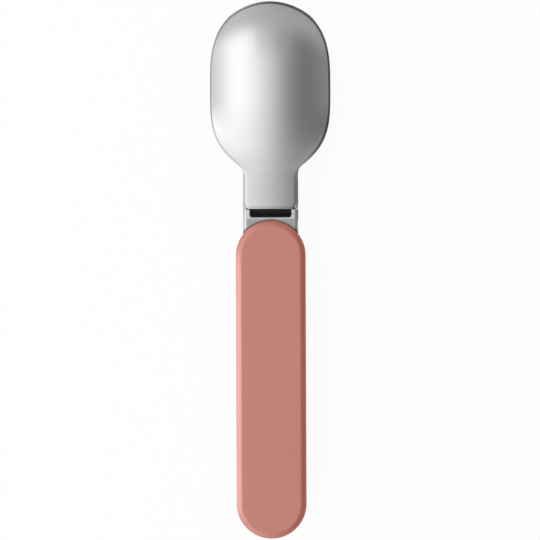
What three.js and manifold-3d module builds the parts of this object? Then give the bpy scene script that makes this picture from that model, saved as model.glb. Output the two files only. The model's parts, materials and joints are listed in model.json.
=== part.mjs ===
// A folding spoon: a pressed steel head that hinges in a steel bracket inside a moulded plastic handle.
// Millimetres. The spoon lies with its hollow side down: X across, Y towards the bowl's tip, Z up.
import * as THREE from 'three';
import { mergeVertices } from 'three/addons/utils/BufferGeometryUtils.js';
import Module from 'manifold-3d';

const wasm = await Module();
wasm.setup();

// Driving dimensions of the steel head
const headSheet = 1.0;
const bowlWidth = 36;
const bowlTipLength = 25;
const bowlTipPower = 3.0;
const bowlTipRound = 0.52;
const bowlTipFullness = 2.6;
const bowlDepth = 8;
const bowlCrownPower = 2.0;
const shoulderLength = 26.8;
const shoulderPower = 3.8;
const shoulderEnd = 0.92;
const shoulderFillet = 0.09;
const shoulderCurveLength = 17.8;
const shoulderFlare = 0.5;
const flareRiseLength = 4.8;
const flareFallLength = 19;
const neckInset = 0.05;
const neckCrestRise = 0.8;
const neckCrownRadius = 31;
const neckLength = 10.1;
const neckTaperInset = 0.5;
const neckTaperLength = 2.0;

// Driving dimensions of the hinge
const pivotInset = 0.3;
const foldGap = 0.3;
const pinRadius = 1.5;
const pinGap = 0.3;
const heelInset = 0.2;
const heelFlat = 0.15;
const earGroundGap = 0.05;
const armGap = 0.2;
const sleeveWall = 0.5;
const sleeveEndGap = 0.1;
const wideFlangeDepth = 2.7;
const flangeIntoShoulder = 2.3;
const flangeTaperLength = 1.2;
const flangeCurveLength = 3.2;
const flangeToWallGap = 0.8;

// Driving dimensions of the bracket
const bracketReach = 3.5;
const bracketSheet = 0.8;
const bracketCornerRadius = 1.2;
const bracketSeatGap = 0.1;
const stopGap = 0.2;
const slotLength = 2.4;
const hornWidth = 1.1;
const slotCornerRadius = 1.0;
const channelLength = 14.4;
const joggleLength = 4;
const joggleDrop = 2.7;
const tongueLength = 22;
const tongueInset = 1.95;
const tongueEndGap = 2;

// Driving dimensions of the detent spring and its rivets
const springSheet = 0.4;
const springSlope = 3;
const springBaseLength = 7;
const springFingerLength = 5;
const springFingerWidth = 0.7;
const springSideGap = 0.3;
const springHeelGap = 0.3;
const springBackInset = 1.5;
const rivetRadius = 0.8;
const rivetHoleGap = 0.3;
const rivetHeadRadius = 1.5;
const rivetHeadHeight = 0.6;
const rivetSpacing = 7;

// Driving dimensions of the plastic handle
const handleLength = 94.6;
const handleWidth = 20.8;
const handleThickness = 8.8;
const chamferWidth = 1.5;
const chamferDepth = 1.0;
const capThickness = 1.6;
const shellSideWall = 1.95;
const bracketSideGap = 0.2;
const sideWallTip = 0.6;
const coverThickness = 2.0;
const partingGap = 0.15;
const coverEndGap = 0.4;
const railWidth = 1.1;
const railHeight = 1.2;
const railGap = 0.25;
const ribThickness = 2;
const cellCount = 3;
const cellRoofThickness = 2.4;
const cellEndRadius = 2;

// Driving dimensions of the two bracket screws
const screwRadius = 1.0;
const screwHoleGap = 0.3;
const screwHeadRadius = 2.1;
const screwHeadHeight = 1.0;
const screwRecessDepth = 0.5;
const screwRecessLength = 2.0;
const screwRecessWidth = 0.5;
const screwTipGap = 0.4;
const screwSpacing = 10;
const screwEdge = 5;
const bossRadius = 2.6;
const bossRoofThickness = 1.0;

// Fineness of the round parts
const acrossSteps = 18;
const tipSteps = 12;
const shoulderSteps = 18;
const shoulderCrowding = 70;
const taperSteps = 4;
const neckSteps = 6;
const arcSteps = 16;
const roundSides = 24;
const cutMargin = 2;

// Places along the spoon, worked out from the driving dimensions
const headLength = bowlTipLength + shoulderLength + neckLength;
const overallLength = handleLength + bracketReach + headLength;
const tipY = overallLength / 2;
const bowlCentreY = tipY - bowlTipLength;
const neckFrontY = bowlCentreY - shoulderLength;
const neckRearY = neckFrontY - neckLength;
const pivotY = neckRearY - pivotInset;
const handleFrontY = neckRearY - bracketReach;
const handleRearY = handleFrontY - handleLength;
const floorFrontY = neckRearY - stopGap;
const channelRearY = floorFrontY - channelLength;
const tongueFrontY = channelRearY - joggleLength;
const tongueRearY = tongueFrontY - tongueLength;
const pocketRearY = tongueRearY - tongueEndGap;
const screwPlaces = [tongueRearY + screwEdge + screwSpacing, tongueRearY + screwEdge];
const springRearY = channelRearY + springBackInset;
const rivetY = springRearY + springBaseLength / 2;
const taperRearY = neckRearY + neckTaperInset;
const taperFrontY = taperRearY + neckTaperLength;
const flangeFrontY = neckFrontY + flangeIntoShoulder;
const curveFrontY = neckFrontY + shoulderCurveLength;
const flareMiddleY = neckFrontY + flareRiseLength;
const flareFrontY = flareMiddleY + flareFallLength;
const coverFrontY = 2 * pivotY - flangeFrontY - coverEndGap;

// Places across the spoon
const bowlHalf = bowlWidth / 2;
const handleHalf = handleWidth / 2;
const pocketHalf = handleHalf - shellSideWall;
const bracketHalf = pocketHalf - bracketSideGap;
const neckHalf = bracketHalf - neckInset;
const earInnerX = bracketHalf - bracketSheet;
const armOuterX = earInnerX - armGap;
const armInnerX = armOuterX - headSheet;
const slotHalf = earInnerX - hornWidth;
const tongueHalf = earInnerX - tongueInset;
const frontArcY = handleFrontY - handleHalf;
const rearArcY = handleRearY + handleHalf;
const sideWallHalf = pocketHalf + sideWallTip;
const sideWallFrontY = frontArcY + Math.sqrt(handleHalf ** 2 - sideWallHalf ** 2);

// Levels
const ceilingZ = handleThickness - capThickness;
const floorTopZ = ceilingZ - bracketSeatGap;
const floorBottomZ = floorTopZ - bracketSheet;
const tongueTopZ = floorTopZ - joggleDrop;
const tongueBottomZ = tongueTopZ - bracketSheet;
const neckCrestZ = floorTopZ + neckCrestRise;
const neckCrown = neckHalf ** 2 / (2 * neckCrownRadius);
const rimTopZ = neckCrestZ - neckCrown;
const rimBottomZ = rimTopZ - headSheet;
const pivotZ = (rimBottomZ - foldGap) / 2;
const earRadius = pivotZ - earGroundGap;
const heelRadius = earRadius - heelInset;
const pinHoleRadius = pinRadius + pinGap;
const wideFlangeZ = rimBottomZ - wideFlangeDepth;
const wallLowZ = 2 * pivotZ - wideFlangeZ + flangeToWallGap;
const shellLowZ = coverThickness + partingGap;
const armFrontY = pivotY + earRadius + armGap;

// Finishes
const steel = new THREE.MeshStandardMaterial({ color: 0xc9cacb, roughness: 0.22, metalness: 1.0 });
const springSteel = new THREE.MeshStandardMaterial({ color: 0x9a9c9f, roughness: 0.35, metalness: 1.0 });
const blackNylon = new THREE.MeshStandardMaterial({ color: 0x141414, roughness: 0.6, metalness: 0.0 });
const rosePlastic = new THREE.MeshStandardMaterial({ color: 0xc38277, roughness: 0.55, metalness: 0.0 });

// Turns a closed three.js geometry into a solid that can be joined and cut
function solidOf(geometry) {
  geometry.deleteAttribute('normal');
  geometry.deleteAttribute('uv');
  const merged = mergeVertices(geometry, 1e-4);
  const kept = [];
  const index = merged.index.array;
  for (let i = 0; i < index.length; i += 3) {
    const [a, b, c] = [index[i], index[i + 1], index[i + 2]];
    if (a !== b && b !== c && c !== a) kept.push(a, b, c);
  }
  const vertProperties = new Float32Array(merged.attributes.position.array);
  return new wasm.Manifold(new wasm.Mesh({ numProp: 3, vertProperties, triVerts: new Uint32Array(kept) }));
}

// Turns a solid back into a named mesh
function meshOf(name, solid, material) {
  const { vertProperties, triVerts } = solid.getMesh();
  const geometry = new THREE.BufferGeometry();
  geometry.setAttribute('position', new THREE.BufferAttribute(vertProperties, 3));
  geometry.setIndex(new THREE.BufferAttribute(triVerts, 1));
  geometry.computeVertexNormals();
  const mesh = new THREE.Mesh(geometry, material);
  mesh.name = name;
  return mesh;
}

// A box between two corners
function box(low, high) {
  const geometry = new THREE.BoxGeometry(high[0] - low[0], high[1] - low[1], high[2] - low[2]);
  geometry.translate((low[0] + high[0]) / 2, (low[1] + high[1]) / 2, (low[2] + high[2]) / 2);
  return solidOf(geometry);
}

// A plan outline raised from one level to another
function planPrism(shape, lowZ, highZ) {
  const options = { depth: highZ - lowZ, bevelEnabled: false, curveSegments: arcSteps };
  return solidOf(new THREE.ExtrudeGeometry(shape, options).translate(0, 0, lowZ));
}

// A side outline, drawn in Y and Z, run across from one X to another
function sidePrism(shape, lowX, highX) {
  const options = { depth: highX - lowX, bevelEnabled: false, curveSegments: arcSteps };
  const geometry = new THREE.ExtrudeGeometry(shape, options).translate(0, 0, lowX);
  const turn = new THREE.Matrix4().makeBasis(
    new THREE.Vector3(0, 1, 0), new THREE.Vector3(0, 0, 1), new THREE.Vector3(1, 0, 0));
  return solidOf(geometry.applyMatrix4(turn));
}

// An end outline, drawn in X and Z, run lengthwise from one Y to another
function endPrism(shape, lowY, highY) {
  const options = { depth: highY - lowY, bevelEnabled: false, curveSegments: arcSteps };
  const geometry = new THREE.ExtrudeGeometry(shape, options);
  const turn = new THREE.Matrix4().makeBasis(
    new THREE.Vector3(1, 0, 0), new THREE.Vector3(0, 0, 1), new THREE.Vector3(0, -1, 0));
  return solidOf(geometry.applyMatrix4(turn).translate(0, highY, 0));
}

// A round bar along Z
function uprightRod(radius, x, y, lowZ, highZ) {
  const geometry = new THREE.CylinderGeometry(radius, radius, highZ - lowZ, roundSides);
  return solidOf(geometry.rotateX(Math.PI / 2).translate(x, y, (lowZ + highZ) / 2));
}

// A round bar on the pivot's axis
function pivotRod(radius, lowX, highX) {
  const geometry = new THREE.CylinderGeometry(radius, radius, highX - lowX, roundSides);
  return solidOf(geometry.rotateZ(Math.PI / 2).translate((lowX + highX) / 2, pivotY, pivotZ));
}

// A closed outline through straight corners
function polygon(points) {
  return new THREE.Shape(points.map(([x, y]) => new THREE.Vector2(x, y)));
}

// Both copies of a solid that is mirrored across the middle of the spoon
function mirrored(solid) {
  return solid.add(solid.mirror([1, 0, 0]));
}

// Half the width of the neck's plate, which covers the front of the ears and narrows behind it
function neckHalfAt(y) {
  const step = THREE.MathUtils.smoothstep(y, taperRearY, taperFrontY);
  return THREE.MathUtils.lerp(armOuterX, neckHalf, step);
}

// How strongly the shoulder's flanks flatten towards the edge, from 1 for a plain curve
function flareAt(y) {
  const rising = THREE.MathUtils.smoothstep(y, neckFrontY, flareMiddleY);
  const falling = 1 - THREE.MathUtils.smoothstep(y, flareMiddleY, flareFrontY);
  return 1 + shoulderFlare * Math.min(rising, falling);
}

// The head's section at one place: half width, edge height and crown height
function sectionAt(y) {
  if (y >= bowlCentreY) {
    const reach = (y - bowlCentreY) / bowlTipLength;
    const half = bowlHalf * (1 - reach ** bowlTipPower) ** bowlTipRound;
    return { half, edge: rimTopZ, crown: bowlDepth * (1 - reach ** bowlTipFullness) };
  }
  if (y >= neckFrontY) {
    const reach = (bowlCentreY - y) / shoulderLength;
    const flank = 1 - (reach / shoulderEnd) ** shoulderPower;
    const swell = (flank + Math.hypot(flank, shoulderFillet)) / (1 + Math.hypot(1, shoulderFillet));
    const half = THREE.MathUtils.lerp(neckHalf, bowlHalf, swell);
    const step = THREE.MathUtils.smoothstep(y, neckFrontY, curveFrontY);
    const curve = THREE.MathUtils.lerp(1 / neckCrownRadius, (2 * bowlDepth) / bowlHalf ** 2, step);
    return { half, edge: rimTopZ, crown: (curve * half ** 2) / (2 * flareAt(y)) };
  }
  const half = neckHalfAt(y);
  const crown = half ** 2 / (2 * neckCrownRadius);
  return { half, edge: neckCrestZ - crown, crown };
}

// The places along the head where its section is taken, from the neck's rear edge towards the tip
function headPlaces() {
  const places = [neckRearY];
  const plainLength = neckFrontY - taperFrontY;
  for (let i = 0; i < taperSteps; i++) places.push(taperRearY + (neckTaperLength * i) / taperSteps);
  for (let i = 0; i < neckSteps; i++) places.push(taperFrontY + (plainLength * i) / neckSteps);
  const crowding = THREE.MathUtils.degToRad(shoulderCrowding);
  for (let i = 0; i < shoulderSteps; i++) {
    const reach = Math.sin(crowding * (1 - i / shoulderSteps)) / Math.sin(crowding);
    places.push(bowlCentreY - shoulderLength * reach);
  }
  for (let i = 0; i < tipSteps; i++) {
    const turn = (Math.PI / 2) * (i / tipSteps);
    places.push(bowlCentreY + bowlTipLength * Math.sin(turn) ** (2 / bowlTipPower));
  }
  return places;
}

// The pressed sheet of the bowl and neck, with the same thickness measured straight down
function headSheetSolid() {
  const places = headPlaces();
  const columns = acrossSteps + 1;
  const points = [];
  for (const drop of [0, headSheet]) {
    for (const y of places) {
      const { half, edge, crown } = sectionAt(y);
      for (let j = 0; j < columns; j++) {
        const across = Math.sin((Math.PI / 2) * ((2 * j) / acrossSteps - 1));
        const height = crown * (1 - Math.abs(across) ** bowlCrownPower) ** flareAt(y);
        points.push(half * across, y, edge + height - drop);
      }
    }
    points.push(0, tipY, rimTopZ - drop);
  }
  const layer = places.length * columns + 1;
  const tip = layer - 1;
  const at = (i, j) => i * columns + j;
  const faces = [];
  const quad = (a, b, c, d) => faces.push(a, b, c, a, c, d);
  for (let j = 0; j < acrossSteps; j++) {
    for (let i = 0; i + 1 < places.length; i++) {
      quad(at(i, j), at(i, j + 1), at(i + 1, j + 1), at(i + 1, j));
      quad(layer + at(i, j), layer + at(i + 1, j), layer + at(i + 1, j + 1), layer + at(i, j + 1));
    }
    const last = places.length - 1;
    faces.push(at(last, j), at(last, j + 1), tip);
    faces.push(layer + at(last, j), layer + tip, layer + at(last, j + 1));
    quad(at(0, j), layer + at(0, j), layer + at(0, j + 1), at(0, j + 1));
  }
  const edgePath = (j) => [...places.map((_, i) => at(i, j)), tip];
  const leftEdge = edgePath(0);
  const rightEdge = edgePath(acrossSteps);
  for (let i = 0; i + 1 < leftEdge.length; i++) {
    quad(leftEdge[i], leftEdge[i + 1], layer + leftEdge[i + 1], layer + leftEdge[i]);
    quad(rightEdge[i], layer + rightEdge[i], layer + rightEdge[i + 1], rightEdge[i + 1]);
  }
  const geometry = new THREE.BufferGeometry();
  geometry.setAttribute('position', new THREE.Float32BufferAttribute(points, 3));
  geometry.setIndex(faces);
  return solidOf(geometry);
}

// The two folded edges of the neck, which run back as arms with round heels on the pivot pin
function headFlanges() {
  const wideRearY = armFrontY + flangeTaperLength;
  const outer = [[armOuterX, pivotY - heelRadius - cutMargin], [armOuterX, armFrontY], [neckHalf, wideRearY]];
  for (const y of headPlaces()) {
    if (y > wideRearY && y < flangeFrontY) outer.push([sectionAt(y).half, y]);
  }
  outer.push([sectionAt(flangeFrontY).half, flangeFrontY]);
  const inner = outer.map(([x, y]) => [x - headSheet, y]).reverse();
  const strip = planPrism(polygon([...outer, ...inner]), 0, rimTopZ);

  const topZ = rimTopZ - headSheet / 2;
  const flatReach = heelRadius - heelFlat;
  const flatTurn = Math.asin(flatReach / heelRadius);
  const flatHalf = heelRadius * Math.cos(flatTurn);
  const side = new THREE.Shape();
  side.moveTo(neckRearY, topZ);
  side.lineTo(neckRearY, pivotZ + flatReach);
  side.lineTo(pivotY - flatHalf, pivotZ + flatReach);
  side.absarc(pivotY, pivotZ, heelRadius, Math.PI - flatTurn, Math.PI + flatTurn, false);
  side.lineTo(pivotY + flatHalf, pivotZ - flatReach);
  side.lineTo(armFrontY, wideFlangeZ);
  side.quadraticCurveTo(flangeFrontY - flangeCurveLength, rimBottomZ - headSheet / 2, flangeFrontY, rimBottomZ);
  side.lineTo(flangeFrontY, topZ);
  return mirrored(strip.intersect(sidePrism(side, 0, bowlHalf)));
}

// The whole steel head
function spoonHead() {
  const holes = pivotRod(pinHoleRadius, -bowlHalf, bowlHalf);
  return meshOf('spoon_head', headSheetSolid().add(headFlanges().subtract(holes)), steel);
}

// The end outline of the bracket: a channel of bent sheet, open downwards
function channelOutline() {
  const innerRadius = bracketCornerRadius - bracketSheet;
  const shape = new THREE.Shape();
  shape.moveTo(bracketHalf, wallLowZ);
  shape.lineTo(bracketHalf, floorTopZ - bracketCornerRadius);
  shape.absarc(bracketHalf - bracketCornerRadius, floorTopZ - bracketCornerRadius, bracketCornerRadius,
    0, Math.PI / 2, false);
  shape.absarc(bracketCornerRadius - bracketHalf, floorTopZ - bracketCornerRadius, bracketCornerRadius,
    Math.PI / 2, Math.PI, false);
  shape.lineTo(-bracketHalf, wallLowZ);
  shape.lineTo(-earInnerX, wallLowZ);
  shape.absarc(innerRadius - earInnerX, floorBottomZ - innerRadius, innerRadius, Math.PI, Math.PI / 2, true);
  shape.absarc(earInnerX - innerRadius, floorBottomZ - innerRadius, innerRadius, Math.PI / 2, 0, true);
  shape.lineTo(earInnerX, wallLowZ);
  return shape;
}

// The bracket's slot, with round rear corners
function slotOutline() {
  const half = slotHalf;
  const r = slotCornerRadius;
  const rearY = floorFrontY - slotLength;
  const shape = new THREE.Shape();
  shape.moveTo(half, floorFrontY + cutMargin);
  shape.lineTo(-half, floorFrontY + cutMargin);
  shape.absarc(r - half, rearY + r, r, Math.PI, 1.5 * Math.PI, false);
  shape.absarc(half - r, rearY + r, r, 1.5 * Math.PI, 2 * Math.PI, false);
  return shape;
}

// The bent steel bracket: channel, ears on the pivot, and a stepped tongue for the screws
function hingeBracket() {
  let solid = endPrism(channelOutline(), channelRearY, floorFrontY);
  solid = solid.subtract(planPrism(slotOutline(), floorBottomZ - bracketSheet, floorTopZ + cutMargin));
  solid = solid.add(mirrored(pivotRod(earRadius, earInnerX, bracketHalf)));
  const seamY = channelRearY + bracketSheet;
  const tongue = polygon([
    [seamY, floorTopZ], [channelRearY, floorTopZ], [tongueFrontY, tongueTopZ], [tongueRearY, tongueTopZ],
    [tongueRearY, tongueBottomZ], [tongueFrontY, tongueBottomZ], [channelRearY, floorBottomZ],
    [seamY, floorBottomZ]]);
  solid = solid.add(sidePrism(tongue, -tongueHalf, tongueHalf));
  solid = solid.subtract(pivotRod(pinHoleRadius, -bowlHalf, bowlHalf));
  for (const y of screwPlaces) {
    solid = solid.subtract(uprightRod(screwRadius + screwHoleGap, 0, y, 0, floorTopZ));
  }
  for (const x of [-rivetSpacing / 2, rivetSpacing / 2]) {
    solid = solid.subtract(uprightRod(rivetRadius + rivetHoleGap, x, rivetY, 0, handleThickness));
  }
  return meshOf('hinge_bracket', solid, steel);
}

// The pin that the head turns on, finished flush with the ears
function pivotPin() {
  return meshOf('pivot_pin', pivotRod(pinRadius, -bracketHalf, bracketHalf), springSteel);
}

// The black sleeve that keeps the two arms apart on the pin
function spacerSleeve() {
  const half = armInnerX - sleeveEndGap;
  const solid = pivotRod(pinHoleRadius + sleeveWall, -half, half);
  return meshOf('spacer_sleeve', solid.subtract(pivotRod(pinHoleRadius, -bowlHalf, bowlHalf)), blackNylon);
}

// The leaf spring under the bracket's floor, whose two fingers bear on the heels' flats
function detentSpring() {
  const fingerBottomZ = pivotZ + heelRadius + springHeelGap;
  const fingerTopZ = fingerBottomZ + springSheet;
  const baseFrontY = springRearY + springBaseLength;
  const fingerRearY = baseFrontY + springSlope;
  const fingerFrontY = baseFrontY + springFingerLength;
  const profile = polygon([
    [springRearY, floorBottomZ - springSheet], [baseFrontY, floorBottomZ - springSheet],
    [fingerRearY, fingerBottomZ], [fingerFrontY, fingerBottomZ], [fingerFrontY, fingerTopZ],
    [fingerRearY, fingerTopZ], [baseFrontY, floorBottomZ], [springRearY, floorBottomZ]]);
  const half = earInnerX - springSideGap;
  const gap = half - springFingerWidth;
  let solid = sidePrism(profile, -half, half);
  solid = solid.subtract(box([-gap, baseFrontY, 0], [gap, fingerFrontY + cutMargin, handleThickness]));
  for (const x of [-rivetSpacing / 2, rivetSpacing / 2]) {
    solid = solid.subtract(uprightRod(rivetRadius + rivetHoleGap, x, rivetY, 0, handleThickness));
  }
  return meshOf('detent_spring', solid, springSteel);
}

// A rivet that holds the spring: a round head below, peened flush with the floor above
function springRivet(name, x) {
  const headTopZ = floorBottomZ - springSheet;
  const head = uprightRod(rivetHeadRadius, x, rivetY, headTopZ - rivetHeadHeight, headTopZ);
  const stem = uprightRod(rivetRadius, x, rivetY, headTopZ - rivetHeadHeight / 2, floorTopZ);
  return meshOf(name, head.add(stem), springSteel);
}

// The handle before it is split: a long plate with round ends and chamfered edges
function handleBlank() {
  const shape = new THREE.Shape();
  shape.absarc(0, frontArcY, handleHalf, 0, Math.PI, false);
  shape.absarc(0, rearArcY, handleHalf, Math.PI, 2 * Math.PI, false);
  const geometry = new THREE.ExtrudeGeometry(shape, {
    depth: handleThickness - 2 * chamferDepth,
    curveSegments: arcSteps,
    bevelThickness: chamferDepth,
    bevelSize: chamferWidth,
    bevelOffset: -chamferWidth,
    bevelSegments: 1,
  });
  return solidOf(geometry.translate(0, 0, chamferDepth));
}

// One hollow cell of the handle, with round corners
function cellOutline(rearY, frontY) {
  const half = pocketHalf;
  const r = cellEndRadius;
  const shape = new THREE.Shape();
  shape.absarc(half - r, frontY - r, r, 0, Math.PI / 2, false);
  shape.absarc(r - half, frontY - r, r, Math.PI / 2, Math.PI, false);
  shape.absarc(r - half, rearY + r, r, Math.PI, 1.5 * Math.PI, false);
  shape.absarc(half - r, rearY + r, r, 1.5 * Math.PI, 2 * Math.PI, false);
  return shape;
}

// The back of the handle, hollow below, with a thin cap that reaches over the bracket
function handleShell() {
  const frontMost = handleFrontY + cutMargin;
  let solid = handleBlank();
  solid = solid.subtract(box(
    [-handleWidth, handleRearY - cutMargin, -cutMargin], [handleWidth, coverFrontY + partingGap, shellLowZ]));
  solid = solid.subtract(box([-pocketHalf, pocketRearY, -cutMargin], [pocketHalf, frontMost, ceilingZ]));
  solid = solid.subtract(box([-handleWidth, sideWallFrontY, -cutMargin], [handleWidth, frontMost, ceilingZ]));
  const cellsRearY = rearArcY;
  const cellPitch = (pocketRearY - cellsRearY) / cellCount;
  for (let i = 0; i < cellCount; i++) {
    const rearY = cellsRearY + i * cellPitch;
    const outline = cellOutline(rearY, rearY + cellPitch - ribThickness);
    solid = solid.subtract(planPrism(outline, 0, handleThickness - cellRoofThickness));
  }
  for (const y of screwPlaces) {
    solid = solid.add(uprightRod(bossRadius, 0, y, tongueTopZ, ceilingZ + bossRoofThickness / 2));
  }
  for (const y of screwPlaces) {
    const holeTopZ = handleThickness - bossRoofThickness;
    solid = solid.subtract(uprightRod(screwRadius + screwHoleGap, 0, y, 0, holeTopZ));
  }
  return meshOf('handle_shell', solid, rosePlastic);
}

// The front of the handle: a plate with two rails that locate it inside the shell
function handleCover() {
  const reach = box(
    [-handleWidth, handleRearY - cutMargin, -cutMargin], [handleWidth, coverFrontY, coverThickness]);
  const railOuterX = pocketHalf - railGap;
  const rail = box(
    [railOuterX - railWidth, pocketRearY + railGap, coverThickness / 2],
    [railOuterX, coverFrontY, coverThickness + railHeight]);
  return meshOf('handle_cover', handleBlank().intersect(reach).add(mirrored(rail)), rosePlastic);
}

// A screw that clamps the bracket's tongue to a boss of the shell, with a cross recess
function bracketScrew(name, y) {
  const headBottomZ = tongueBottomZ - screwHeadHeight;
  const tipZ = handleThickness - bossRoofThickness - screwTipGap;
  const recessTopZ = headBottomZ + screwRecessDepth;
  let solid = uprightRod(screwHeadRadius, 0, y, headBottomZ, tongueBottomZ);
  solid = solid.add(uprightRod(screwRadius, 0, y, recessTopZ, tipZ));
  const reach = screwRecessLength / 2;
  const half = screwRecessWidth / 2;
  solid = solid.subtract(box([-reach, y - half, 0], [reach, y + half, recessTopZ]));
  solid = solid.subtract(box([-half, y - reach, 0], [half, y + reach, recessTopZ]));
  return meshOf(name, solid, springSteel);
}

// The spoon as it comes apart: the handle with its bracket, and the head that turns in it
const handleGroup = new THREE.Group();
handleGroup.add(
  handleShell(),
  handleCover(),
  hingeBracket(),
  bracketScrew('bracket_screw_upper', screwPlaces[0]),
  bracketScrew('bracket_screw_lower', screwPlaces[1]),
  detentSpring(),
  springRivet('spring_rivet_left', -rivetSpacing / 2),
  springRivet('spring_rivet_right', rivetSpacing / 2),
  pivotPin(),
  spacerSleeve(),
);
const headGroup = new THREE.Group();
headGroup.add(spoonHead());

const foldingSpoon = new THREE.Group();
foldingSpoon.add(handleGroup, headGroup);

export default foldingSpoon;
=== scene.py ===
"""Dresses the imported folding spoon: a pressed steel head, its hinge and a moulded handle."""
import json
import logging
import math
from dataclasses import dataclass, field
from enum import Enum
from typing import Any, Callable, Iterable, Sequence

import bpy
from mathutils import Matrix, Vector


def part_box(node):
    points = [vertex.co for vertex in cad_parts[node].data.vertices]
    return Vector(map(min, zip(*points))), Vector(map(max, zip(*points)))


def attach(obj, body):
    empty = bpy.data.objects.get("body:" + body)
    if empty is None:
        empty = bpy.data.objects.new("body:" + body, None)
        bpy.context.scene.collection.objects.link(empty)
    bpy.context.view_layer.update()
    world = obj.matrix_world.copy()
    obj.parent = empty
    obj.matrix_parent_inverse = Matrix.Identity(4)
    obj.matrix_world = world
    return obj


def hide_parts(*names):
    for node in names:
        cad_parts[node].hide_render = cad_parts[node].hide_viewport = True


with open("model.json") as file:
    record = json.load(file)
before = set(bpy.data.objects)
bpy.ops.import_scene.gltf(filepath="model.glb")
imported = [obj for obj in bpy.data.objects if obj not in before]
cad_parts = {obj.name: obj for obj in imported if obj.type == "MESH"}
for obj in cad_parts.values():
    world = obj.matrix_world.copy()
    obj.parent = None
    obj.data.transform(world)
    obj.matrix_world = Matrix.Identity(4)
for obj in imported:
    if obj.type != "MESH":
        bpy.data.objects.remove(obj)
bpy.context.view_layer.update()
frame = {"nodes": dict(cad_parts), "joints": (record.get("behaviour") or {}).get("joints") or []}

LOG = logging.getLogger("folding_spoon")
MM = 0.001
NEAR = 0.01 * MM
MERGE = 0.001 * MM
LINE_DIGITS = 5
BAR_SIDES = 96
SHARP = 40.0
WHITE = (1.0, 1.0, 1.0, 1.0)
NOISE_MIDDLE = 0.5
# A Mix node has sockets of one name for each kind of data, so its colours go by number.
MIX_FIRST = 6
MIX_SECOND = 7
MIX_RESULT = 2
Point = Sequence[float]
Material = bpy.types.Material
Socket = bpy.types.NodeSocket


class Tool(Enum):
    """What one body does to another that it meets."""

    JOIN = "UNION"
    CUT = "DIFFERENCE"
    TRIM = "INTERSECT"


class Along(Enum):
    """The axis that a round bar follows, as the turn of an upright bar."""

    ACROSS = (0.0, math.pi / 2, 0.0)
    UPRIGHT = (0.0, 0.0, 0.0)


def eased(share: float) -> float:
    """A smooth step from 0 to 1, for a share that may pass either end."""
    kept = min(1.0, max(0.0, share))
    return kept * kept * (3 - 2 * kept)


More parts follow.
